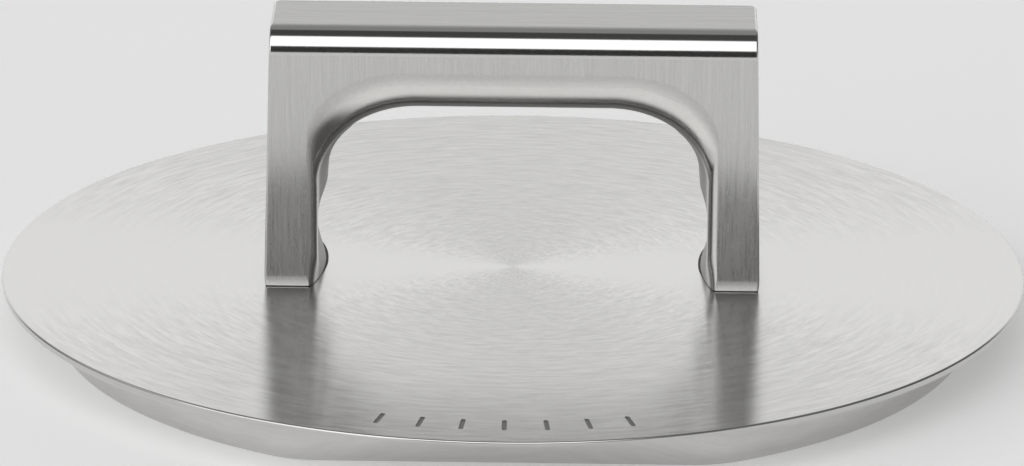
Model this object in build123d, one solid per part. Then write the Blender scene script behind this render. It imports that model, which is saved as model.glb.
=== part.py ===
from build123d import *
import math
import os

# Patty press: a flat-fronted mould pan with a lift-off press.  The press is a round plate
# with a bridge handle on top and a shallow platen below that fits inside the mould.
# Millimetres.  Origin at the centre of the mould's underside, +Z up, and the flat front
# with its grip marks faces -Y.

# ---- driving dimensions ------------------------------------------------------------
PLATE_R = 100.0             # press plate, outer radius
PLATE_T = 1.55              # press plate, sheet thickness
PLATE_TOP = 11.3            # height of the plate's top face above the table
PLATE_EDGE = 0.25           # polished bevel round the plate's rim

LIP_Y = -87.5               # the front of the plate is thinned below, ahead of this line
LIP_RAMP = 2.0              # the step runs out over this length
LIP_T = 0.92                # thickness left at the finger lip

MOULD_R = 89.5              # mould wall, outer radius
MOULD_FLAT_Y = -80.5        # flat front of the mould wall
MOULD_CORNER_R = 20.0       # corners between the flat and the round wall
MOULD_WALL = 1.0            # mould sheet thickness
MOULD_HEEL_R = 0.4          # rounding from the wall to the base, outside
MOULD_CORNER_IN_R = 1.0     # and inside

PATTY_T = 5.0               # gap between the mould floor and the platen when closed
PLATEN_GAP = 0.75           # running gap between the platen and the mould wall
PLATEN_SHEET = 0.8          # platen sheet thickness
PLATEN_HEEL_R = 1.4         # rounding under the platen, outside
PLATEN_CORNER_IN_R = 0.6    # and inside
CORE_GAP = 0.4              # between the core's rim and the platen wall

MARK_COUNT = 7              # engraved grip marks over the finger lip
MARK_PITCH_DEG = 4.89
MARK_R = (88.2, 93.6)       # inner and outer end of each mark
MARK_W = 0.9
MARK_DEPTH = 0.12

HANDLE_FOOT_X = 48.1        # half width over the feet
HANDLE_TOP_X = 46.9         # half width over the grip
HANDLE_H = 51.85            # top of the grip above the plate
HANDLE_FRONT_Y = -14.0      # upright front face
HANDLE_FOOT_Y = 14.0        # back of the feet
HANDLE_TOP_Y = 7.4          # back edge of the grip's flat top
GRIP_NOSE_R = 5.0           # polished rounding along the grip's top front edge
BACK_CORNER_R = 1.5         # upright rear corners
EDGE_R = 0.4                # broken edges
FOOT_EDGE = 0.5             # polished bevel round the bottom of each foot

ARCH_FACE = (39.95, 44.0, 18.8, 13.7)  # opening in the front face: half width, height,
                                       # width and height of its elliptical corner
ARCH_INNER = (37.75, 35.7, 19.4, 15.0)  # the same behind the front rounding
LEG_ROUND = 3.0             # depth of the front rounding down the legs,
CROWN_ROUND = 5.4           # at the crown
FOOT_ROUND = 8.0            # and in the plane of the plate
FOOT_ROUND_H = 6.0          # the foot's deeper rounding dies out over this height
ROUND_GROWS = (18.0, 34.0)  # the crown's grows between these heights
ARCH_BACK_R = 1.5           # rounding of the opening's rear edge
DRAFT = 0.055               # the inside opens out this much towards the back,
DRAFT_Y = -10.5             # starting from here
SWELL_CROWN = 1.85          # the inner surface swells towards the fingers: at the crown,
SWELL_SHOULDER = 3.0        # at the shoulders
SWELL_KNEE = 2.1            # and at the top of the legs
SWELL_FADE = (12.05, 18.05)  # it dies out down the legs between these heights
SWELL_Y = 3.0               # where the swell is fullest, front to back
SWELL_START_Y = -11.0       # where it starts
FOOT_SPREAD = 1.7           # each foot spreads inwards by this much at its middle
FOOT_SPREAD_H = 7.0         # over this height
SHOULDER_AT = 0.65          # the shoulder's height, as a share of the corner's
LEG_POINTS = 8              # points down each leg of the opening's outline
CORNER_POINTS = 10          # and round each corner
SECTION_DEPTHS = (0, 0.1, 0.35, 0.8, 1.4, 2.2, 3.2, 4.3, 5.4, 8, 11, 14, 17, 20, 23, 27, 32)

GASKET_T = 0.2
GASKET_INSET = 0.3          # the gasket's edge sits this far back under the foot's bevel
SCREW_R = 2.0               # M4
SCREW_X = 43.0
SCREW_Y = 8.0
SCREW_DEPTH = 12.0          # depth of the tapped hole in the leg
SCREW_TIP_GAP = 1.5         # left free past the screw's tip
SCREW_CLEAR = 0.2
HEAD_R = 3.6
HEAD_H = 2.0
HEAD_BEVEL = 0.4
SOCKET_R = 1.45             # hexagon socket, across corners
SOCKET_DEPTH = 1.1
WASHER_R = 3.9
WASHER_T = 0.8
WASHER_SPLIT = 0.9          # width of the gap in the ring
WASHER_SPLIT_DEG = 25       # and its slant
HEAD_POCKET_R = 5.0         # hole through the core round each screw head

# ---- worked out from those ---------------------------------------------------------
PLATE_UNDER = PLATE_TOP - PLATE_T
PLATEN_FACE = MOULD_WALL + PATTY_T
PLATEN_FLOOR = PLATEN_FACE + PLATEN_SHEET
FOOT_Z = PLATE_TOP + GASKET_T
BACK_LEAN = HANDLE_FOOT_Y - HANDLE_TOP_Y
BIG = 300.0                 # longer than anything here
SPARE = 1.0                 # cutters reach this far past what they cut


def flat_front_disc(inset):
    """The mould's outline, moved inwards by inset: a circle cut off by a straight front."""
    radius = MOULD_R - inset
    front = MOULD_FLAT_Y + inset
    cutter = Pos(0, front - BIG / 2) * Rectangle(BIG, BIG)
    outline = Circle(radius) - cutter
    return fillet(outline.vertices(), MOULD_CORNER_R - inset)


def slab(inset, low, high):
    """A flat-fronted disc between two heights."""
    return extrude(Pos(0, 0, low) * flat_front_disc(inset), high - low)


def lowest_edges(solid):
    return solid.edges().group_by(Axis.Z)[0]


def mould_pan():
    """Drawn pan with a flat base: the wall is open at the top."""
    outside = slab(0, 0, PLATE_UNDER)
    outside = fillet(lowest_edges(outside), MOULD_HEEL_R)
    inside = slab(MOULD_WALL, MOULD_WALL, PLATE_UNDER + SPARE)
    inside = fillet(lowest_edges(inside), MOULD_CORNER_IN_R)
    return outside - inside


def screw_places():
    return [(sx * SCREW_X, sy * SCREW_Y) for sx in (-1, 1) for sy in (-1, 1)]


def upright(radius, low, high, x, y):
    """A vertical cylinder between two heights."""
    return extrude(Pos(x, y, low) * Circle(radius), high - low)


def lip_relief():
    """What is taken off the underside of the plate to leave a thin finger lip at the front."""
    under = PLATE_TOP - LIP_T
    outline = Polyline(
        (LIP_Y + LIP_RAMP, PLATE_UNDER),
        (LIP_Y, under),
        (-PLATE_R - SPARE, under),
        (-PLATE_R - SPARE, PLATE_UNDER - SPARE),
        (LIP_Y + LIP_RAMP, PLATE_UNDER - SPARE),
        close=True,
    )
    return extrude(Plane.YZ * make_face(outline), PLATE_R, both=True)


def grip_mark(turn):
    """One engraved radial mark: a shallow slot with round ends."""
    inner, outer = MARK_R
    slot = SlotOverall(outer - inner, MARK_W)
    place = Pos(0, 0, PLATE_TOP - MARK_DEPTH) * Rot(0, 0, -90 + turn) * Pos((inner + outer) / 2, 0)
    return extrude(place * slot, MARK_DEPTH + SPARE)


def press_plate():
    plate = upright(PLATE_R, PLATE_UNDER, PLATE_TOP, 0, 0)
    plate = chamfer(plate.edges(), PLATE_EDGE)
    plate -= lip_relief()
    for number in range(MARK_COUNT):
        plate -= grip_mark((number - (MARK_COUNT - 1) / 2) * MARK_PITCH_DEG)
    for x, y in screw_places():
        plate -= upright(SCREW_R + SCREW_CLEAR, PLATE_UNDER - SPARE, PLATE_TOP + SPARE, x, y)
    return plate


def platen():
    """Shallow drawn cup whose flat underside presses the meat."""
    inset = MOULD_WALL + PLATEN_GAP
    outside = slab(inset, PLATEN_FACE, PLATE_UNDER)
    outside = fillet(lowest_edges(outside), PLATEN_HEEL_R)
    inside = slab(inset + PLATEN_SHEET, PLATEN_FLOOR, PLATE_UNDER + SPARE)
    inside = fillet(lowest_edges(inside), PLATEN_CORNER_IN_R)
    return outside - inside


def platen_core():
    """Solid disc that fills the platen and carries the pressing force."""
    inset = MOULD_WALL + PLATEN_GAP + PLATEN_SHEET + CORE_GAP
    core = slab(inset, PLATEN_FLOOR, PLATE_UNDER)
    core = chamfer(lowest_edges(core), PLATEN_CORNER_IN_R)
    for x, y in screw_places():
        core -= upright(HEAD_POCKET_R, PLATEN_FLOOR - SPARE, PLATE_UNDER + SPARE, x, y)
    return core


def back_radius(rise):
    """Radius of the handle's bowed back, which starts upright and leans over that rise."""
    return (BACK_LEAN ** 2 + rise ** 2) / (2 * BACK_LEAN)


def handle_side():
    """The handle's outline seen from the side: upright front, flat foot and top, bowed back."""
    rise = HANDLE_H - GASKET_T
    radius = back_radius(rise)
    half = math.asin(rise / radius) / 2
    middle = (HANDLE_FOOT_Y - radius * (1 - math.cos(half)), FOOT_Z + radius * math.sin(half))
    top = PLATE_TOP + HANDLE_H
    return make_face([
        Line((HANDLE_FOOT_Y, FOOT_Z), (HANDLE_FRONT_Y, FOOT_Z)),
        Line((HANDLE_FRONT_Y, FOOT_Z), (HANDLE_FRONT_Y, top)),
        Line((HANDLE_FRONT_Y, top), (HANDLE_TOP_Y, top)),
        ThreePointArc((HANDLE_TOP_Y, top), middle, (HANDLE_FOOT_Y, FOOT_Z)),
    ])


def handle_front():
    """Its outline seen from the front: a little narrower at the top."""
    top = PLATE_TOP + HANDLE_H
    outline = Polyline(
        (-HANDLE_FOOT_X, FOOT_Z),
        (HANDLE_FOOT_X, FOOT_Z),
        (HANDLE_TOP_X, top),
        (-HANDLE_TOP_X, top),
        close=True,
    )
    return make_face(outline)


def handle_blank():
    """The handle before its opening is cut, with its round nose and broken edges."""
    body = extrude(Plane.YZ * handle_side(), HANDLE_FOOT_X + SPARE, both=True)
    body &= extrude(Plane.XZ * handle_front(), BIG, both=True)
    nose = body.edges().filter_by(Axis.X).group_by(Axis.Z)[-1].sort_by(Axis.Y)[0]
    body = fillet(nose, GRIP_NOSE_R)
    uprights = body.edges().filter_by(lambda e: abs(e.bounding_box().size.Z) > HANDLE_H / 2)
    body = fillet(uprights.group_by(Axis.Y)[-1], BACK_CORNER_R)
    body = chamfer(lowest_edges(body), FOOT_EDGE)
    top_edges = body.edges().group_by(Axis.Z)[-1]
    return fillet(top_edges, EDGE_R)


def ease(low, high, value):
    """Smooth step from 0 at low to 1 at high."""
    share = min(1.0, max(0.0, (value - low) / (high - low)))
    return share * share * (3 - 2 * share)


def back_y(z):
    """Where the bowed back is at height z above the plate."""
    radius = back_radius(HANDLE_H)
    return HANDLE_FOOT_Y - radius + math.sqrt(radius ** 2 - z ** 2)


def half_outline(half_width, height, corner_w, corner_h):
    """Half of an opening outline from the foot to the crown: points and inward normals."""
    low = GASKET_T + FOOT_EDGE
    knee = height - corner_h
    flat = half_width - corner_w
    points = [(half_width, low + (knee - low) * n / LEG_POINTS) for n in range(LEG_POINTS)]
    normals = [(-1.0, 0.0)] * LEG_POINTS
    for n in range(CORNER_POINTS):
        angle = math.pi / 2 * n / (CORNER_POINTS - 1)
        points.append((flat + corner_w * math.cos(angle), knee + corner_h * math.sin(angle)))
        nx = -math.cos(angle) / corner_w
        nz = -math.sin(angle) / corner_h
        length = math.hypot(nx, nz)
        normals.append((nx / length, nz / length))
    points += [(flat / 2, height), (0.0, height)]
    normals += [(0.0, -1.0), (0.0, -1.0)]
    return points, normals


def swell_height(z):
    """How far the inside of the opening swells at height z, at its fullest section."""
    crown = ARCH_INNER[1]
    shoulder = crown - (1 - SHOULDER_AT) * ARCH_INNER[3]
    if z < shoulder:
        share = max(0.0, (z - SWELL_FADE[1]) / (shoulder - SWELL_FADE[1]))
        amount = SWELL_KNEE + (SWELL_SHOULDER - SWELL_KNEE) * share
    else:
        share = (z - shoulder) / (crown - shoulder)
        amount = SWELL_SHOULDER + (SWELL_CROWN - SWELL_SHOULDER) * share
    foot = FOOT_SPREAD * (1 - ease(0, FOOT_SPREAD_H, z))
    return amount * ease(*SWELL_FADE, z) + foot


def fullness(y, z):
    """The swell's share at y: 0 near the front face and in the back, 1 between them."""
    length = SWELL_Y - SWELL_START_Y if y < SWELL_Y else back_y(z) - SWELL_Y
    return max(0.0, 1 - ((y - SWELL_Y) / length) ** 2) ** 1.5


def reach(y, z):
    """How far the front rounding has come round: 0 in the front face, 1 inside the opening."""
    crown = (CROWN_ROUND - LEG_ROUND) * ease(*ROUND_GROWS, z)
    foot = (FOOT_ROUND - LEG_ROUND) * (1 - ease(0, FOOT_ROUND_H, z))
    depth = LEG_ROUND + crown + foot
    left = max(0.0, 1 - (y - HANDLE_FRONT_Y) / depth)
    return math.sqrt(1 - left ** 2)


def arch_section(y):
    """The opening's outline in the plane at y."""
    face, _ = half_outline(*ARCH_FACE)
    inner, normals = half_outline(*ARCH_INNER)
    half = []
    for (fx, fz), (ix, iz), (nx, nz) in zip(face, inner, normals):
        swell = swell_height(iz) * fullness(y, iz) - DRAFT * max(0.0, y - DRAFT_Y)
        share = reach(y, iz)
        half.append((fx + (ix - fx) * share + nx * swell, fz + (iz - fz) * share + nz * swell))
    foot_x, foot_z = half[0]
    low_x = foot_x + 2 * FOOT_EDGE
    low_z = foot_z - 2 * FOOT_EDGE
    left = [(-x, z) for x, z in half]
    outline = [
        Line((low_x, low_z), (foot_x, foot_z)),
        Spline(*half, tangents=[(0, 1), (-1, 0)]),
        Spline(*reversed(left), tangents=[(-1, 0), (0, -1)]),
        Line((-foot_x, foot_z), (-low_x, low_z)),
        Line((-low_x, low_z), (low_x, low_z)),
    ]
    plane = Plane(origin=(0, y, PLATE_TOP), x_dir=(1, 0, 0), z_dir=(0, -1, 0))
    return plane * make_face(outline)


def arch_opening():
    """The finger opening: its front edge is broadly rounded and its inside swells."""
    return loft([arch_section(HANDLE_FRONT_Y + depth) for depth in SECTION_DEPTHS])


def on_opening_back(edge):
    """True for the two long edges where the opening meets the bowed back."""
    middle = edge.center()
    height = middle.Z - PLATE_TOP
    in_back = abs(middle.Y - back_y(height)) < FOOT_EDGE
    return in_back and height < ARCH_FACE[1] and edge.length > HANDLE_H


def handle():
    """Cast bridge handle with two tapped holes in each foot."""
    body = handle_blank() - arch_opening()
    body = fillet(body.edges().filter_by(on_opening_back), ARCH_BACK_R)
    for x, y in screw_places():
        body -= upright(SCREW_R, FOOT_Z - SPARE, FOOT_Z + SCREW_DEPTH, x, y)
    return body


def gasket_outline(side):
    """The foot's outline set back a little; side is -1 or 1."""
    outer = side * (HANDLE_FOOT_X - GASKET_INSET)
    front = HANDLE_FRONT_Y + GASKET_INSET
    back = HANDLE_FOOT_Y - GASKET_INSET
    middle = (side * (ARCH_INNER[0] - FOOT_SPREAD + GASKET_INSET), SWELL_Y)
    front_corner = (side * (ARCH_FACE[0] + GASKET_INSET / 2), front)
    back_corner = (side * (ARCH_INNER[0] + GASKET_INSET), back)
    face = make_face([
        Line(front_corner, (outer, front)),
        Line((outer, front), (outer, back)),
        Line((outer, back), back_corner),
        ThreePointArc(back_corner, middle, front_corner),
    ])
    outside_back = face.vertices().sort_by(lambda v: v.Y + side * v.X)[-1]
    return fillet(outside_back, BACK_CORNER_R - GASKET_INSET)


def foot_gaskets():
    """Thin seal under each foot, with holes for its screws."""
    gaskets = [extrude(Pos(0, 0, PLATE_TOP) * gasket_outline(side), GASKET_T) for side in (-1, 1)]
    for x, y in screw_places():
        hole = upright(SCREW_R + SCREW_CLEAR, PLATE_TOP - SPARE, FOOT_Z + SPARE, x, y)
        gaskets = [gasket - hole for gasket in gaskets]
    return Compound([solid for gasket in gaskets for solid in gasket.solids()])


def handle_screw(x, y):
    """One pan-head machine screw, driven up from inside the platen."""
    head_top = PLATE_UNDER - WASHER_T
    head_low = head_top - HEAD_H
    head = upright(HEAD_R, head_low, head_top, x, y)
    head = chamfer(lowest_edges(head), HEAD_BEVEL)
    shank = upright(SCREW_R, head_top, FOOT_Z + SCREW_DEPTH - SCREW_TIP_GAP, x, y)
    socket = extrude(Pos(x, y, head_low) * RegularPolygon(SOCKET_R, 6), SOCKET_DEPTH)
    return (head + shank - socket).solids()


def lock_washer(x, y):
    """One split spring washer, under a screw's head."""
    ring = upright(WASHER_R, PLATE_UNDER - WASHER_T, PLATE_UNDER, x, y)
    ring -= upright(SCREW_R + SCREW_CLEAR, PLATE_UNDER - WASHER_T - SPARE, PLATE_UNDER + SPARE, x, y)
    gap = Box(2 * WASHER_R, WASHER_SPLIT, 2 * WASHER_R)
    return (ring - Pos(x + WASHER_R, y, PLATE_UNDER) * Rot(WASHER_SPLIT_DEG, 0, 0) * gap).solids()


def one_per_screw(build):
    """The same piece at each of the four screws, as one part."""
    return Compound([solid for x, y in screw_places() for solid in build(x, y)])


def write(name, shape):
    export_step(shape, f"parts/{name}.step")


def main():
    os.makedirs("parts", exist_ok=True)
    write("mould_pan", mould_pan())
    write("press_plate", press_plate())
    write("platen", platen())
    write("platen_core", platen_core())
    write("handle", handle())
    write("foot_gaskets", foot_gaskets())
    write("handle_screws", one_per_screw(handle_screw))
    write("lock_washers", one_per_screw(lock_washer))


main()
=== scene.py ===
import math

import bmesh
import bpy
from mathutils import Matrix, Vector


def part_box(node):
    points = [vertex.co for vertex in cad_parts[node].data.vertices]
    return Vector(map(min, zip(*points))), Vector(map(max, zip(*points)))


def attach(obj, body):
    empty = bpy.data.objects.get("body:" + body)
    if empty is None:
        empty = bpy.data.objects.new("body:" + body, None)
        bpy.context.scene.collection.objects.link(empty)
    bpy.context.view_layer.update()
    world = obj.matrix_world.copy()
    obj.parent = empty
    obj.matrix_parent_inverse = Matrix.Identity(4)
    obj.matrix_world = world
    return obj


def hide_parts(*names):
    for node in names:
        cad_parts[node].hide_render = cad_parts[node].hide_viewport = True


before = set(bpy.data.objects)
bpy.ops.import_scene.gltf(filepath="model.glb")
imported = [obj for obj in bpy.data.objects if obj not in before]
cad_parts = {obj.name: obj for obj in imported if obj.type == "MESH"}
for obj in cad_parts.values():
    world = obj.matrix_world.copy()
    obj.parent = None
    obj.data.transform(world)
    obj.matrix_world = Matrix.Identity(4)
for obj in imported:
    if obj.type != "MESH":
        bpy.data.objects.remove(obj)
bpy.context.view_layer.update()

MM = 0.001

# ---- sizes read from the frame ---------------------------------------------------------
PLATE_LOW, PLATE_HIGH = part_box("press_plate")
MOULD_LOW, MOULD_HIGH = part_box("mould_pan")
PLATEN_LOW, PLATEN_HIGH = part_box("platen")
HANDLE_LOW, HANDLE_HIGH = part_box("handle")
PLATE_R = PLATE_HIGH.x
PLATE_TOP = PLATE_HIGH.z
PLATE_UNDER = PLATE_LOW.z
MOULD_R = MOULD_HIGH.x
MOULD_FLAT_Y = MOULD_LOW.y

# ---- the camera ------------------------------------------------------------------------
LENS = 228.5                # mm, on the default 36 mm sensor
CAMERA_DISTANCE = 1.27555
CAMERA_ELEVATION = math.radians(18.34)
CAMERA_AZIMUTH = math.radians(0.868)
CAMERA_ROLL = math.radians(0.424)
CAMERA_SHIFT_RIGHT = -0.234 * MM     # the camera's own place beside and above the line of sight
CAMERA_SHIFT_UP = 6.58 * MM


def make_camera():
    right = Vector((1, 0, 0))
    forward = Vector((0, math.cos(CAMERA_ELEVATION), -math.sin(CAMERA_ELEVATION)))
    up = Vector((0, math.sin(CAMERA_ELEVATION), math.cos(CAMERA_ELEVATION)))
    turn = Matrix.Rotation(CAMERA_AZIMUTH, 3, "Z")
    place = CAMERA_SHIFT_RIGHT * right + CAMERA_SHIFT_UP * up - CAMERA_DISTANCE * forward
    cos_roll, sin_roll = math.cos(CAMERA_ROLL), math.sin(CAMERA_ROLL)
    axis_x = turn @ (cos_roll * right + sin_roll * up)
    axis_y = turn @ (cos_roll * up - sin_roll * right)
    axis_z = turn @ (-forward)
    camera = bpy.data.objects.new("camera", bpy.data.cameras.new("camera"))
    camera.data.lens = LENS
    camera.data.clip_start = 0.01
    camera.data.clip_end = 100
    matrix = Matrix((axis_x, axis_y, axis_z)).transposed().to_4x4()
    matrix.translation = turn @ place + Vector((0, 0, PLATE_TOP))
    camera.matrix_world = matrix
    bpy.context.scene.collection.objects.link(camera)
    bpy.context.scene.camera = camera


# ---- mesh helpers ----------------------------------------------------------------------
CLEAR = 1 * MM                 # a cutter reaches this far past what it cuts
SHARP_FROM = 40                # degrees: edges bent by more than this stay sharp
HANDLE_SHARP_FROM = 32


def link(name, mesh):
    obj = bpy.data.objects.new(name, mesh)
    bpy.context.scene.collection.objects.link(obj)
    return obj


def grid_mesh(name, rings, caps):
    """Closed rings of points joined in order by quads. caps says which ends get a flat face."""
    bm = bmesh.new()
    rows = [[bm.verts.new(p) for p in ring] for ring in rings]
    for low, high in zip(rows, rows[1:]):
        count = len(low)
        for i in range(count):
            j = (i + 1) % count
            bm.faces.new((low[i], low[j], high[j], high[i]))
    if caps[0]:
        bm.faces.new(list(reversed(rows[0])))
    if caps[1]:
        bm.faces.new(rows[-1])
    bmesh.ops.recalc_face_normals(bm, faces=bm.faces)
    mesh = bpy.data.meshes.new(name)
    bm.to_mesh(mesh)
    bm.free()
    return link(name, mesh)


def apply_modifiers(obj):
    graph = bpy.context.evaluated_depsgraph_get()
    mesh = bpy.data.meshes.new_from_object(obj.evaluated_get(graph), depsgraph=graph)
    obj.modifiers.clear()
    obj.data = mesh


def cut(obj, cutters):
    for cutter in cutters:
        modifier = obj.modifiers.new("cut", "BOOLEAN")
        modifier.operation = "DIFFERENCE"
        modifier.solver = "EXACT"
        modifier.object = cutter
    apply_modifiers(obj)
    for cutter in cutters:
        bpy.data.objects.remove(cutter)


def smooth(obj, degrees):
    """Smooth shading up to that angle, with large faces keeping their own normals."""
    for polygon in obj.data.polygons:
        polygon.use_smooth = True
    obj.data.set_sharp_from_angle(angle=math.radians(degrees))
    modifier = obj.modifiers.new("normals", "WEIGHTED_NORMAL")
    modifier.mode = "FACE_AREA"
    modifier.weight = 100
    modifier.keep_sharp = True
    apply_modifiers(obj)


def ease(low, high, value):
    """Smooth step from 0 at low to 1 at high."""
    share = min(1.0, max(0.0, (value - low) / (high - low)))
    return share * share * (3 - 2 * share)


def arc(centre, radius, start, end, steps):
    """Points along an arc, angles in degrees."""
    points = []
    for step in range(steps + 1):
        angle = math.radians(start + (end - start) * step / steps)
        points.append((centre[0] + radius * math.cos(angle), centre[1] + radius * math.sin(angle)))
    return points


# ---- press plate -----------------------------------------------------------------------
PLATE_STEPS = 720
LIP_STEPS = 116
RIM_TOP_R = 0.4 * MM
RIM_UNDER_R = 0.5 * MM
LIP_Y = -87.5 * MM
LIP_RAMP = 2.0 * MM
LIP_T = 0.92 * MM
LIP_UNDER_R = 0.5 * MM
LIP_UNDER_FADE = math.radians(5)
LIP_UNDER_LEAST = 0.04         # share of the rounding that is left at the lip's ends
LIP_UNDER_CLEAR = 0.3 * MM
MARK_COUNT = 7
MARK_PITCH = math.radians(4.89)
MARK_R = (88.2 * MM, 93.6 * MM)
MARK_W = 0.9 * MM
MARK_DEPTH = 0.12 * MM


def circle(radius, z, steps=PLATE_STEPS):
    turn = 2 * math.pi / steps
    return [(radius * math.cos(i * turn), radius * math.sin(i * turn), z) for i in range(steps)]


def lip_cutter():
    under = PLATE_TOP - LIP_T
    low = PLATE_UNDER - CLEAR
    outline = [
        (LIP_Y + LIP_RAMP, PLATE_UNDER),
        (LIP_Y, under),
        (-PLATE_R - CLEAR, under),
        (-PLATE_R - CLEAR, low),
        (LIP_Y + LIP_RAMP, low),
    ]
    rings = [[(x, y, z) for y, z in outline] for x in (-PLATE_R, PLATE_R)]
    return grid_mesh("lip_cutter", rings, (True, True))


def lip_edge_cutter():
    """Rounds the lip's lower edge. The rounding dies out at both ends of the lip."""
    under = PLATE_TOP - LIP_T
    low = under - LIP_UNDER_CLEAR
    reach = math.acos(-LIP_Y / PLATE_R)
    rings = []
    for n in range(LIP_STEPS + 1):
        turn = reach * (2 * n / LIP_STEPS - 1)
        size = LIP_UNDER_R * max(LIP_UNDER_LEAST, ease(0, LIP_UNDER_FADE, reach - abs(turn)))
        profile = arc((PLATE_R - size, under + size), size, 0, -90, 8)
        profile += [(PLATE_R - size, low), (PLATE_R + CLEAR, low)]
        profile.append((PLATE_R + CLEAR, under + size))
        x, y = math.sin(turn), -math.cos(turn)
        rings.append([(r * x, r * y, z) for r, z in profile])
    return grid_mesh("lip_edge_cutter", rings, (True, True))


def mark_cutter(turn):
    half = MARK_W / 2
    inner, outer = MARK_R
    outline = arc((outer - half, 0), half, -90, 90, 12) + arc((inner + half, 0), half, 90, 270, 12)
    spin = Matrix.Rotation(turn - math.pi / 2, 3, "Z")
    rings = []
    for z in (PLATE_TOP - MARK_DEPTH, PLATE_TOP + CLEAR):
        rings.append([spin @ Vector((x, y, z)) for x, y in outline])
    return grid_mesh("mark_cutter", rings, (True, True))


def make_plate():
    top = arc((PLATE_R - RIM_TOP_R, PLATE_TOP - RIM_TOP_R), RIM_TOP_R, 90, 0, 8)
    bottom = arc((PLATE_R - RIM_UNDER_R, PLATE_UNDER + RIM_UNDER_R), RIM_UNDER_R, 0, -90, 8)
    rings = [circle(radius, z) for radius, z in top + bottom]
    plate = grid_mesh("plate_skin", rings, (True, True))
    marks = [(n - (MARK_COUNT - 1) / 2) * MARK_PITCH for n in range(MARK_COUNT)]
    cut(plate, [lip_cutter(), lip_edge_cutter()] + [mark_cutter(turn) for turn in marks])
    smooth(plate, SHARP_FROM)
    return plate


# ---- mould and platen ------------------------------------------------------------------
CORNER_R = 20 * MM
MOULD_WALL = 1.0 * MM
MOULD_HEEL_R = 0.4 * MM
MOULD_CORNER_IN_R = 1.0 * MM
MOULD_RIM_R = 0.3 * MM
PLATEN_SHEET = 0.8 * MM
PLATEN_HEEL_R = 1.4 * MM
PLATEN_CORNER_IN_R = 0.6 * MM
PLATEN_RIM_R = 0.2 * MM


def flat_front_ring(inset, z):
    """The mould's outline moved inwards: a round wall with a straight front and round corners."""
    radius = MOULD_R - inset
    front = MOULD_FLAT_Y + inset
    corner = CORNER_R - inset
    corner_x = math.sqrt((radius - corner) ** 2 - (front + corner) ** 2)
    lean = math.degrees(math.atan2(front + corner, corner_x))
    points = arc((corner_x, front + corner), corner, -90, lean, 24)
    points += arc((0, 0), radius, lean, 180 - lean, 360)[1:]
    points += arc((-corner_x, front + corner), corner, 180 - lean, 270, 24)[1:]
    return [(x, y, z) for x, y in points]


def pan_rings(wall, heel, corner_in, sheet, low, high, rim):
    """Rings from the inside floor, up the wall, over the rim and down to the underside."""
    profile = [(wall + sheet + corner_in + a, low + sheet + corner_in + b)
               for a, b in arc((0, 0), corner_in, -90, -180, 8)]
    profile += [(wall + sheet - rim + a, high - rim + b) for a, b in arc((0, 0), rim, 0, 90, 4)]
    profile += [(wall + rim + a, high - rim + b) for a, b in arc((0, 0), rim, 90, 180, 4)]
    profile += [(wall + heel + a, low + heel + b) for a, b in arc((0, 0), heel, 180, 270, 12)]
    return [flat_front_ring(inset, z) for inset, z in profile]


def make_mould():
    rings = pan_rings(
        0, MOULD_HEEL_R, MOULD_CORNER_IN_R, MOULD_WALL, MOULD_LOW.z, MOULD_HIGH.z, MOULD_RIM_R
    )
    mould = grid_mesh("mould_skin", rings, (True, True))
    smooth(mould, SHARP_FROM)
    return mould


def make_platen():
    wall = MOULD_R - PLATEN_HIGH.x
    rings = pan_rings(
        wall, PLATEN_HEEL_R, PLATEN_CORNER_IN_R, PLATEN_SHEET, PLATEN_LOW.z, PLATEN_HIGH.z, PLATEN_RIM_R
    )
    skin = grid_mesh("platen_skin", rings, (True, True))
    smooth(skin, SHARP_FROM)
    return skin


# ---- handle ----------------------------------------------------------------------------
GASKET_T = 0.2 * MM
HANDLE_FOOT_X = 48.1 * MM
HANDLE_TOP_X = 46.9 * MM
HANDLE_H = round(HANDLE_HIGH.z - PLATE_TOP, 6)     # to the micrometre, like the front
HANDLE_FRONT_Y = round(HANDLE_LOW.y, 6)
HANDLE_FOOT_Y = 14.0 * MM
HANDLE_TOP_Y = 7.4 * MM
NOSE_R = 5.0 * MM
FRONT_CORNER_R = 0.4 * MM
BACK_CORNER_R = 1.5 * MM
TOP_EDGE_R = 0.5 * MM
FOOT_LOW = 0.1 * MM             # the foot presses this close to the plate
FOOT_ROLL_R = 16.0 * MM         # the face rolls in slightly above the foot's edge,
FOOT_ROLL_TURN = 9              # by this many degrees,
FOOT_EDGE_R = 0.3 * MM          # and then the edge is rounded
FOOT_EDGE_TURN = 60
FACE_ARCH = (39.95 * MM, 44.0 * MM, 18.8 * MM, 13.7 * MM)    # half width, height, corner size
INNER_ARCH = (37.75 * MM, 35.7 * MM, 19.4 * MM, 15.0 * MM)
LEG_ROUND = 3.0 * MM
FOOT_ROUND = 8.0 * MM
FOOT_ROUND_H = 6.0 * MM
CROWN_ROUND = 5.4 * MM
ROUND_GROWS = (18 * MM, 34 * MM)
BACK_ROUND = 1.5 * MM
BACK_REACH = 0.6                # how much of the inner shape is left at the rear edge
SWELL_CROWN = 1.85 * MM         # the inside swells towards the fingers, halfway through
SWELL_SHOULDER = 3.0 * MM
SHOULDER_DROP = 0.35            # the shoulder's distance below the crown, as a share of the corner
SWELL_KNEE = 2.1 * MM
SWELL_FADE = (12.05 * MM, 18.05 * MM)
SWELL_Y = 3.0 * MM
SWELL_START_Y = -11.0 * MM
SWELL_POWER = 1.5               # how quickly the swell dies out away from its fullest section
DRAFT = 0.055                   # the inside opens out this much towards the back
DRAFT_Y = -10.5 * MM
FOOT_SPREAD = 1.7 * MM
FOOT_SPREAD_H = 7.0 * MM
LEG_STEPS = 30
CORNER_STEPS = 48
CROWN_STEPS = 6
SIDE_STEPS = 28
NOSE_STEPS = 60
TOP_EDGE_STEPS = 8
ROUND_STEPS = 24
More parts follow.
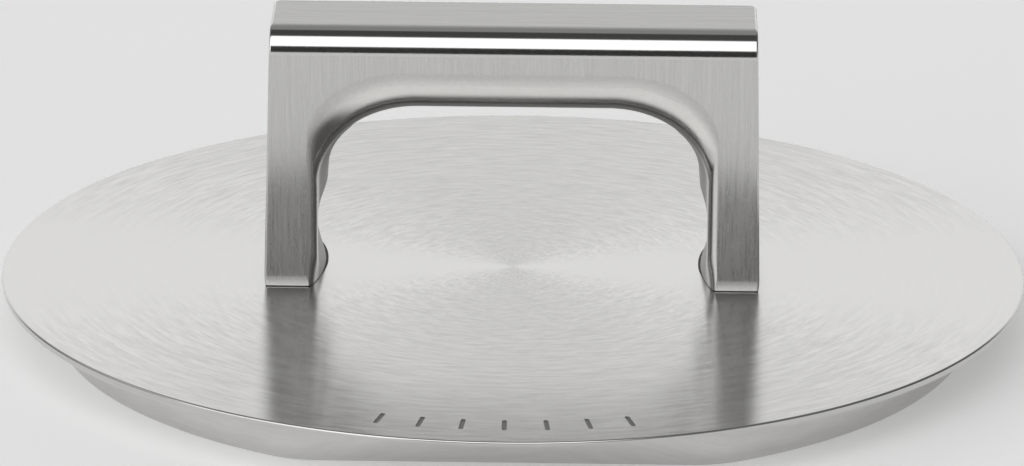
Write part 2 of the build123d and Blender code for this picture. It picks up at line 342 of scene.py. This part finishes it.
INSIDE_STEPS = 20
BACK_STEPS = 16
ARCH_CLEAR = 6 * MM


def side_x(z):
    return HANDLE_FOOT_X + (HANDLE_TOP_X - HANDLE_FOOT_X) * z / HANDLE_H


def back_y(z):
    """The bowed back, upright at the feet."""
    rise, lean = HANDLE_H, HANDLE_FOOT_Y - HANDLE_TOP_Y
    radius = (lean ** 2 + rise ** 2) / (2 * lean)
    return HANDLE_FOOT_Y - radius + math.sqrt(radius ** 2 - z ** 2)


def front_y(z):
    """Upright, then the polished nose rolls back to the flat top."""
    over = z - (HANDLE_H - NOSE_R)
    if over <= 0:
        return HANDLE_FRONT_Y
    return HANDLE_FRONT_Y + NOSE_R - math.sqrt(max(0.0, NOSE_R ** 2 - over ** 2))


def handle_ring(z, inset):
    """Outline of the handle blank at one height above the plate."""
    x = side_x(z) - inset
    front = front_y(z) + inset
    back = back_y(z) - inset
    r_front = FRONT_CORNER_R
    r_back = max(BACK_CORNER_R - inset, 0.1 * MM)
    points = arc((-x + r_front, front + r_front), r_front, 180, 270, 5)
    points += arc((x - r_front, front + r_front), r_front, 270, 360, 5)
    points += arc((x - r_back, back - r_back), r_back, 0, 90, 10)
    points += arc((-x + r_back, back - r_back), r_back, 90, 180, 10)
    return [(px, py, PLATE_TOP + z) for px, py in points]


def foot_edge():
    """Heights and insets of the rounding at the bottom of the feet, from the underside up."""
    edge = arc((FOOT_ROLL_R - FOOT_EDGE_R, 0), FOOT_EDGE_R, -FOOT_EDGE_TURN, -FOOT_ROLL_TURN, 6)
    roll = arc((0, 0), FOOT_ROLL_R, -FOOT_ROLL_TURN, 0, 8)
    shift_x = roll[0][0] - edge[-1][0]
    shift_z = roll[0][1] - edge[-1][1]
    points = [(x + shift_x, z + shift_z) for x, z in edge[:-1]] + roll
    low = points[0][1]
    return [(FOOT_LOW + z - low, FOOT_ROLL_R - x) for x, z in points]


def arch_edge():
    """The same for the foot's edge inside the opening, which has no roll."""
    points = arc((0, 0), FOOT_EDGE_R, -FOOT_EDGE_TURN, 0, 6)
    low = points[0][1]
    return [(FOOT_LOW + z - low, FOOT_EDGE_R - x) for x, z in points]


def handle_blank():
    levels = foot_edge()
    low = levels[-1][0]
    high = HANDLE_H - NOSE_R
    levels += [(low + (high - low) * n / SIDE_STEPS, 0.0) for n in range(1, SIDE_STEPS + 1)]
    edge_start = HANDLE_H - TOP_EDGE_R
    for n in range(1, NOSE_STEPS):
        z = high + NOSE_R * math.sin(math.radians(90 * n / NOSE_STEPS))
        if z < edge_start:
            levels.append((z, 0.0))
    for n in range(TOP_EDGE_STEPS + 1):
        angle = math.radians(90 * n / TOP_EDGE_STEPS)
        inset = TOP_EDGE_R * (1 - math.cos(angle))
        levels.append((edge_start + TOP_EDGE_R * math.sin(angle), inset))
    rings = [handle_ring(z, inset) for z, inset in levels]
    return grid_mesh("handle_skin", rings, (True, True))


def arch_half(half_width, height, corner_w, corner_h):
    """Half of an opening outline, from the foot to the crown, with its inward normals."""
    low = arch_edge()[-1][0]
    knee = height - corner_h
    points = [(half_width, low + (knee - low) * n / LEG_STEPS) for n in range(LEG_STEPS)]
    normals = [(-1.0, 0.0)] * LEG_STEPS
    for n in range(CORNER_STEPS + 1):
        angle = math.radians(90 * n / CORNER_STEPS)
        x = half_width - corner_w + corner_w * math.cos(angle)
        points.append((x, knee + corner_h * math.sin(angle)))
        normal = Vector((-math.cos(angle) / corner_w, -math.sin(angle) / corner_h)).normalized()
        normals.append(tuple(normal))
    for n in range(1, CROWN_STEPS):
        points.append(((half_width - corner_w) * (1 - n / CROWN_STEPS), height))
        normals.append((0.0, -1.0))
    return points, normals


def swell_height(z):
    """How far the inside of the opening swells at height z, at its fullest section."""
    crown = INNER_ARCH[1]
    shoulder = crown - SHOULDER_DROP * INNER_ARCH[3]
    if z < shoulder:
        share = max(0.0, (z - SWELL_FADE[1]) / (shoulder - SWELL_FADE[1]))
        amount = SWELL_KNEE + (SWELL_SHOULDER - SWELL_KNEE) * share
    else:
        share = min(1.0, (z - shoulder) / (crown - shoulder))
        amount = SWELL_SHOULDER + (SWELL_CROWN - SWELL_SHOULDER) * share
    foot = FOOT_SPREAD * (1 - ease(0, FOOT_SPREAD_H, z))
    return amount * ease(*SWELL_FADE, z) + foot


def fullness(y, z):
    """The swell's share at y: 0 near the front face and in the back, 1 between them."""
    reach = SWELL_Y - SWELL_START_Y if y < SWELL_Y else back_y(z) - SWELL_Y
    return max(0.0, 1 - ((y - SWELL_Y) / reach) ** 2) ** SWELL_POWER


def round_depth(z):
    """Depth of the opening's front rounding, which is least halfway down the legs."""
    crown = (CROWN_ROUND - LEG_ROUND) * ease(*ROUND_GROWS, z)
    foot = (FOOT_ROUND - LEG_ROUND) * (1 - ease(0, FOOT_ROUND_H, z))
    return LEG_ROUND + crown + foot


def arch_ring(reach, y_of):
    """One section of the opening. reach goes from 0 at the front face to 1 inside."""
    face, _ = arch_half(*FACE_ARCH)
    inner, normals = arch_half(*INNER_ARCH)
    right = []
    for (fx, fz), (ix, iz), (nx, nz) in zip(face, inner, normals):
        y = y_of(iz)
        swell = swell_height(iz) * fullness(y, iz) - DRAFT * max(0.0, y - DRAFT_Y)
        right.append((fx + (ix - fx) * reach + nx * swell, y, fz + (iz - fz) * reach + nz * swell))
    foot_x, foot_y, _ = right[0]
    bevel = [(foot_x + inset, foot_y, z) for z, inset in arch_edge()[:-1]]
    bevel.insert(0, (bevel[0][0] + GASKET_T, foot_y, -GASKET_T))
    right = [(x, y, PLATE_TOP + z) for x, y, z in bevel + right]
    left = [(-x, y, z) for x, y, z in reversed(right)]
    return right + left


def between(z, share):
    """A place between the end of the front rounding and the start of the rear one."""
    start = HANDLE_FRONT_Y + round_depth(z)
    return start + (back_y(z) - BACK_ROUND - start) * share


def arch_cutter():
    rings = [arch_ring(0, lambda z: HANDLE_FRONT_Y)]
    rings.insert(0, [(x, y - ARCH_CLEAR, z) for x, y, z in rings[0]])
    for n in range(1, ROUND_STEPS + 1):
        turn = math.radians(90 * n / ROUND_STEPS)
        drop = 1 - math.cos(turn)
        rings.append(
            arch_ring(math.sin(turn), lambda z, drop=drop: HANDLE_FRONT_Y + round_depth(z) * drop)
        )
    for n in range(1, INSIDE_STEPS + 1):
        share = n / INSIDE_STEPS
        rings.append(arch_ring(1, lambda z, share=share: between(z, share)))
    for n in range(1, BACK_STEPS + 1):
        turn = math.radians(90 * n / BACK_STEPS)
        reach = 1 - (1 - math.cos(turn)) * (1 - BACK_REACH)
        drop = BACK_ROUND * (1 - math.sin(turn))
        rings.append(arch_ring(reach, lambda z, drop=drop: back_y(z) - drop))
    rings.append([(x, HANDLE_FOOT_Y + ARCH_CLEAR, z) for x, y, z in rings[-1]])
    return grid_mesh("arch_cutter", rings, (True, True))


def make_handle():
    handle = handle_blank()
    cut(handle, [arch_cutter()])
    smooth(handle, HANDLE_SHARP_FROM)
    return handle


# ---- materials -------------------------------------------------------------------------
WARM = (1.0, 0.992, 0.975)     # the steel is very slightly warm
EDGE_Y = (-13.98 * MM, -13.2 * MM)      # the opening's finish changes between these depths
INSIDE_Y = (-12.0 * MM, -7.0 * MM)      # and again between these
EDGE_ROUGHNESS = 0.32
POLISHED_ROUGHNESS = 0.18
INSIDE_ROUGHNESS = 0.45
# painted shade: share of the colour left deeper inside the opening, where shade falls
INSIDE_PAINTED_SHADE = 0.75
NOISE_SPAN = (0.3, 0.7)        # the part of the noise that tone and roughness follow
BLASTED_MOTTLE = 1500.0        # cells of the noise per metre
PLAIN_MOTTLE = 700.0
STRAIGHT_LINES = 2400.0        # straight brushing: lines per metre across it,
UPRIGHT_BREAKS = 90.0          # and how often a line breaks up along its length
LENGTHWISE_BREAKS = 60.0
GRAIN_LINES = 850.0            # circular brushing: lines per metre outwards
GRAIN_ARCS = 9.0               # how often a line breaks up round the circle
GRAIN_AT_SIDES = 0.08          # its share left at the sides,
GRAIN_FADE = (0.2, 0.65)       # and where that changes: depth over radius
CENTRE_R = 0.0002              # no division by less than this at the centre


class Nodes:
    """Short-hand for adding shader nodes to one material or world."""

    def __init__(self, tree):
        self.tree = tree

    def add(self, kind, **settings):
        node = self.tree.nodes.new(kind)
        for name, value in settings.items():
            setattr(node, name, value)
        return node

    def put(self, socket, value):
        if isinstance(value, bpy.types.NodeSocket):
            self.tree.links.new(value, socket)
        else:
            socket.default_value = value

    def math(self, operation, a, b=0.0, c=0.0, clamp=False):
        node = self.add("ShaderNodeMath", operation=operation, use_clamp=clamp)
        for socket, value in zip(node.inputs, (a, b, c)):
            self.put(socket, value)
        return node.outputs[0]

    def join(self, x, y, z):
        node = self.add("ShaderNodeCombineXYZ")
        for socket, value in zip(node.inputs, (x, y, z)):
            self.put(socket, value)
        return node.outputs[0]

    def split(self, vector):
        node = self.add("ShaderNodeSeparateXYZ")
        self.put(node.inputs[0], vector)
        return node.outputs

    def remap(self, value, low, high, to_low, to_high, smoothly=False):
        node = self.add("ShaderNodeMapRange")
        node.interpolation_type = "SMOOTHSTEP" if smoothly else "LINEAR"
        for name, item in zip(("Value", "From Min", "From Max", "To Min", "To Max"),
                              (value, low, high, to_low, to_high)):
            self.put(node.inputs[name], item)
        return node.outputs[0]

    def noise(self, vector, scale, detail=2.0, rough=0.5):
        node = self.add("ShaderNodeTexNoise")
        self.put(node.inputs["Vector"], vector)
        node.inputs["Scale"].default_value = scale
        node.inputs["Detail"].default_value = detail
        node.inputs["Roughness"].default_value = rough
        return node.outputs[0]

    def place(self):
        return self.add("ShaderNodeTexCoord").outputs["Object"]

    def stretched(self, *scales):
        """The object's own coordinates, scaled differently along each axis."""
        parts = zip(self.split(self.place()), scales)
        return self.join(*(self.math("MULTIPLY", part, scale) for part, scale in parts))

    def distance_out(self, x, y):
        """Distance from the upright axis."""
        squares = self.math("ADD", self.math("MULTIPLY", x, x), self.math("MULTIPLY", y, y))
        return self.math("SQRT", squares)

    def tinted(self, value, tint):
        return self.join(*(self.math("MULTIPLY", value, share) for share in tint))


def new_material(name):
    material = bpy.data.materials.new(name)
    material.use_nodes = True
    shader = material.node_tree.nodes["Principled BSDF"]
    return material, Nodes(material.node_tree), shader


def metal(name, tone, roughness, anisotropic, rotation, tangent, grain, grain_tone, bump):
    """Steel whose brushing comes from a stretched noise."""
    material, nodes, shader = new_material(name)
    shader.inputs["Metallic"].default_value = 1
    shader.inputs["Anisotropic"].default_value = anisotropic
    shader.inputs["Anisotropic Rotation"].default_value = rotation
    shade = nodes.remap(grain(nodes), *NOISE_SPAN, tone - grain_tone, tone + grain_tone)
    nodes.put(shader.inputs["Base Color"], nodes.tinted(shade, WARM))
    rough = nodes.remap(grain(nodes), *NOISE_SPAN, roughness * 0.9, roughness * 1.1)
    nodes.put(shader.inputs["Roughness"], rough)
    if tangent:
        nodes.put(shader.inputs["Tangent"], tangent(nodes))
    if bump:
        node = nodes.add("ShaderNodeBump")
        node.inputs["Strength"].default_value = 1
        node.inputs["Distance"].default_value = bump
        nodes.put(node.inputs["Height"], grain(nodes))
        nodes.put(shader.inputs["Normal"], node.outputs[0])
    return material


def blasted_and_painted_shade_inwards(name, tone):
    """From the front edge in: the face's own roughness, then polished, then blasted and rougher; deeper
    in, the colour is also darkened, which is painted shade.
    """
    material, nodes, shader = new_material(name)
    shader.inputs["Metallic"].default_value = 1
    _, y, _ = nodes.split(nodes.place())
    edge = nodes.remap(y, *EDGE_Y, EDGE_ROUGHNESS, POLISHED_ROUGHNESS, True)
    inside = nodes.remap(y, *INSIDE_Y, POLISHED_ROUGHNESS, INSIDE_ROUGHNESS, True)
    nodes.put(shader.inputs["Roughness"], nodes.math("MAXIMUM", edge, inside))
    spots = nodes.noise(nodes.place(), BLASTED_MOTTLE, 3.0, 0.7)
    mottle = nodes.remap(spots, *NOISE_SPAN, 0.96, 1.04)
    # painted shade: the colour darkens deeper inside the opening, between the INSIDE_Y depths
    painted_shade = nodes.remap(y, *INSIDE_Y, tone, tone * INSIDE_PAINTED_SHADE, True)
    shade = nodes.math("MULTIPLY", mottle, painted_shade)
    nodes.put(shader.inputs["Base Color"], nodes.tinted(shade, WARM))
    return material


def plain(name, tone, roughness, metallic):
    """Rubber or bare metal with a fine mottle, for the pieces hidden inside."""
    material, nodes, shader = new_material(name)
    shader.inputs["Metallic"].default_value = metallic
    mottle = nodes.noise(nodes.place(), PLAIN_MOTTLE)
    shade = nodes.remap(mottle, *NOISE_SPAN, tone * 0.9, tone * 1.1)
    rough = nodes.remap(mottle, *NOISE_SPAN, roughness * 0.85, roughness * 1.15)
    nodes.put(shader.inputs["Base Color"], nodes.tinted(shade, WARM))
    nodes.put(shader.inputs["Roughness"], rough)
    return material


def circular_grain(nodes):
    """Fine arcs round the centre, stronger in front and behind than at the sides."""
    x, y, z = nodes.split(nodes.place())
    radius = nodes.distance_out(x, y)
    safe = nodes.math("MAXIMUM", radius, CENTRE_R)
    ahead = nodes.math("DIVIDE", y, safe)
    turn = nodes.join(
        nodes.math("MULTIPLY", nodes.math("DIVIDE", x, safe), GRAIN_ARCS),
        nodes.math("MULTIPLY", ahead, GRAIN_ARCS),
        nodes.math("MULTIPLY", nodes.math("ADD", radius, z), GRAIN_LINES),
    )
    strength = nodes.remap(nodes.math("ABSOLUTE", ahead), *GRAIN_FADE, GRAIN_AT_SIDES, 1.0, True)
    from_middle = nodes.math("SUBTRACT", nodes.noise(turn, 1.0, 3.0, 0.75), 0.5)
    return nodes.math("MULTIPLY_ADD", from_middle, strength, 0.5)


def upright_grain(nodes):
    stretched = nodes.stretched(STRAIGHT_LINES, STRAIGHT_LINES, UPRIGHT_BREAKS)
    return nodes.noise(stretched, 1.0, 3.0, 0.6)


def lengthwise_grain(nodes):
    stretched = nodes.stretched(LENGTHWISE_BREAKS, STRAIGHT_LINES, STRAIGHT_LINES)
    return nodes.noise(stretched, 1.0, 3.0, 0.6)


def round_tangent(nodes):
    return nodes.add("ShaderNodeTangent", direction_type="RADIAL", axis="Z").outputs[0]


def along_x(nodes):
    return nodes.join(1.0, 0.0, 0.0)


def along_y(nodes):
    return nodes.join(0.0, 1.0, 0.0)


def coat(obj, materials):
    """Gives an object its materials."""
    obj.data.materials.clear()
    for material in materials:
        obj.data.materials.append(material)


def dress(obj, node, body, materials):
    """A finished skin that stands for one CAD node and moves with its body."""
    coat(obj, materials)
    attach(obj, body)
    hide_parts(node)
    return obj


def sort_plate_faces(plate):
    """0 brushed, 1 etched inside the grip marks, 2 polished round the rim."""
    for polygon in plate.data.polygons:
        centre = polygon.center
        out = centre.xy.length
        engraved = PLATE_TOP - 1.1 * MARK_DEPTH < centre.z < PLATE_TOP - 0.1 * MARK_DEPTH
        polygon.material_index = 0
        if out > PLATE_R - RIM_TOP_R:
            polygon.material_index = 2
        elif engraved and out < PLATE_R - 2 * MM:
            polygon.material_index = 1


def sort_handle_faces(handle):
    """0 front and back, 1 flat top, 2 polished nose, 3 inside the opening, 4 outer sides."""
    for polygon in handle.data.polygons:
        x, y, z = polygon.center
        nx, ny, nz = polygon.normal
        height = z - PLATE_TOP
        on_nose = y < HANDLE_FRONT_Y + NOSE_R and height > HANDLE_H - NOSE_R and abs(nx) < 0.5
        within = abs(x) < side_x(height) - BACK_CORNER_R and height < FACE_ARCH[1]
        behind_face = HANDLE_FRONT_Y + 0.01 * MM < y < back_y(min(height, HANDLE_H)) - 0.1 * MM
        polygon.material_index = 0
        if nz > 0.99 and height > HANDLE_H - NOSE_R:
            polygon.material_index = 1
        elif on_nose and ny > -0.9999:
            polygon.material_index = 2
        elif within and behind_face:
            polygon.material_index = 3
        elif abs(nx) > 0.7:
            polygon.material_index = 4


# ---- studio ----------------------------------------------------------------------------
FLOOR_Z = -0.05 * MM           # clear of the mould's underside, which it would flicker through
FLOOR_R = 20                   # metres
FLOOR_STEPS = 64
FLOOR_TONE = 0.9
FLOOR_GLOW = 0.25              # the same everywhere, so that the matt floor stays pale


def make_floor():
    """A plain matt pale floor, the same to the camera as in reflections."""
    floor = grid_mesh("floor", [circle(FLOOR_R, FLOOR_Z, FLOOR_STEPS)], (True, False))
    material, _, shader = new_material("floor")
    shader.inputs["Base Color"].default_value = (FLOOR_TONE, FLOOR_TONE, FLOOR_TONE, 1)
    shader.inputs["Roughness"].default_value = 1
    shader.inputs["Emission Color"].default_value = (1, 1, 1, 1)
    shader.inputs["Emission Strength"].default_value = FLOOR_GLOW
    floor.data.materials.append(material)


SOFTBOX = 1.7                  # the brightest band, which the ramps are scaled by
OVER_ARC = (         # degrees from the front horizon, over the top, to the back horizon; brightness
    (0, 0.06), (26.5, 0.06), (28.5, SOFTBOX), (71, SOFTBOX), (75, 0.07), (105, 0.07),
    (114, 0.3), (140, 0.3), (152, 0.5), (160, 1.2), (180, 1.2),
)
LOW_RING = (         # degrees from the back by the left, front and right to the back; brightness
    (0, 1.0), (32, 1.0), (45, 0.2), (98, 0.2), (108, 1.45), (154, 1.45), (162, 0.04), (200, 0.04),
    (208, 0.4), (235, 0.4), (262, 0.2), (275, 0.12), (315, 0.12), (328, 1.0), (360, 1.0),
)
SIDE_LEFT = 1.0                # brightness high up on either side
SIDE_RIGHT = 0.15
# The rest are limits of a blend, along x or z of the direction looked in.
SIDE_FADE_X = (-0.3, 0.3)      # from the left side's brightness to the right side's
LEFT_EDGE_X = (-0.85, -0.6)    # from the left side to the arc over the top
RIGHT_EDGE_X = (0.2, 0.45)     # from that arc to the right side
LOW_TO_HIGH_Z = (math.sin(math.radians(22)), math.sin(math.radians(28)))    # from the low ring up


def add_ramp(nodes, value, stops, span):
    """Brightness looked up along an angle, from stops of (degrees, brightness)."""
    ramp = nodes.add("ShaderNodeValToRGB")
    nodes.put(ramp.inputs[0], value)
    elements = ramp.color_ramp.elements
    elements.remove(elements[-1])
    for n, (degrees, level) in enumerate(stops):
        element = elements[0] if n == 0 else elements.new(degrees / span)
        element.position = degrees / span
        element.color = [level / SOFTBOX] * 3 + [1]
    return nodes.math("MULTIPLY", ramp.outputs[0], SOFTBOX)


def mix(nodes, share, first, second):
    return nodes.math("ADD", nodes.math("MULTIPLY", first, nodes.math("SUBTRACT", 1.0, share)),
                      nodes.math("MULTIPLY", second, share))


def make_world():
    world = bpy.data.worlds.new("studio")
    bpy.context.scene.world = world
    world.use_nodes = True
    nodes = Nodes(world.node_tree)
    x, y, z = nodes.split(nodes.add("ShaderNodeTexCoord").outputs["Generated"])
    over = nodes.math("ARCTAN2", nodes.math("MAXIMUM", z, 0.0), nodes.math("MULTIPLY", y, -1.0))
    middle = add_ramp(nodes, nodes.math("DIVIDE", over, math.pi), OVER_ARC, 180)
    around = nodes.math("ARCTAN2", nodes.math("MULTIPLY", x, -1.0), y)
    turn = nodes.math("DIVIDE", nodes.math("ADD", around, math.pi), 2 * math.pi)
    low = add_ramp(nodes, nodes.math("FRACT", nodes.math("ADD", turn, 0.5)), LOW_RING, 360)
    side = nodes.remap(x, *SIDE_FADE_X, SIDE_LEFT, SIDE_RIGHT, True)
    aside_left = nodes.remap(x, *LEFT_EDGE_X, 1.0, 0.0, True)
    aside_right = nodes.remap(x, *RIGHT_EDGE_X, 0.0, 1.0, True)
    high = mix(nodes, nodes.math("MAXIMUM", aside_left, aside_right), middle, side)
    rise = nodes.remap(z, *LOW_TO_HIGH_Z, 0.0, 1.0, True)
    level = mix(nodes, rise, low, high)
    nodes.put(world.node_tree.nodes["Background"].inputs["Color"], nodes.join(level, level, level))


make_camera()
make_world()
make_floor()
bpy.context.scene.view_settings.view_transform = "Standard"

# name, tone, roughness, anisotropy and its rotation, tangent, grain, its contrast and its height
plate_steel = metal(
    "plate_steel", 0.65, 0.165, 0.95, 0.25, round_tangent, circular_grain, 0.11, 1.5e-6
)
rim_steel = metal("rim_steel", 0.62, 0.13, 0.0, 0.0, None, circular_grain, 0.02, 0)
etched_steel = metal("etched_steel", 0.3, 0.5, 0.0, 0.0, None, circular_grain, 0.02, 0)
wall_steel = metal("wall_steel", 0.62, 0.16, 0.0, 0.0, None, circular_grain, 0.03, 4e-7)
face_steel = metal("face_steel", 0.64, 0.28, 0.95, 0.0, along_x, upright_grain, 0.045, 6e-7)
side_steel = metal("side_steel", 0.62, 0.28, 0.9, 0.0, along_y, upright_grain, 0.045, 6e-7)
top_steel = metal("top_steel", 0.58, 0.25, 0.8, 0.25, along_x, lengthwise_grain, 0.09, 1e-6)
polished_steel = metal("polished_steel", 0.66, 0.12, 0.0, 0.0, None, upright_grain, 0.01, 0)
# the opening's inside: real rougher finish, plus painted shade darkening its colour deeper in
satin_steel_painted_shade = blasted_and_painted_shade_inwards("satin_steel_painted_shade", 0.62)
gasket_rubber = plain("gasket_rubber", 0.03, 0.55, 0.0)
cast_aluminium = plain("cast_aluminium", 0.62, 0.5, 1.0)
screw_steel = plain("screw_steel", 0.5, 0.3, 1.0)

plate_finishes = [plate_steel, etched_steel, rim_steel]
plate = dress(make_plate(), "press_plate", "press", plate_finishes)
sort_plate_faces(plate)
dress(make_mould(), "mould_pan", "mould", [wall_steel])
dress(make_platen(), "platen", "press", [wall_steel])
handle_finishes = [face_steel, top_steel, polished_steel, satin_steel_painted_shade, side_steel]
handle = dress(make_handle(), "handle", "press", handle_finishes)
sort_handle_faces(handle)
coat(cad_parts["platen_core"], [cast_aluminium])
coat(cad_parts["foot_gaskets"], [gasket_rubber])
coat(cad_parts["handle_screws"], [screw_steel])
coat(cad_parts["lock_washers"], [screw_steel])
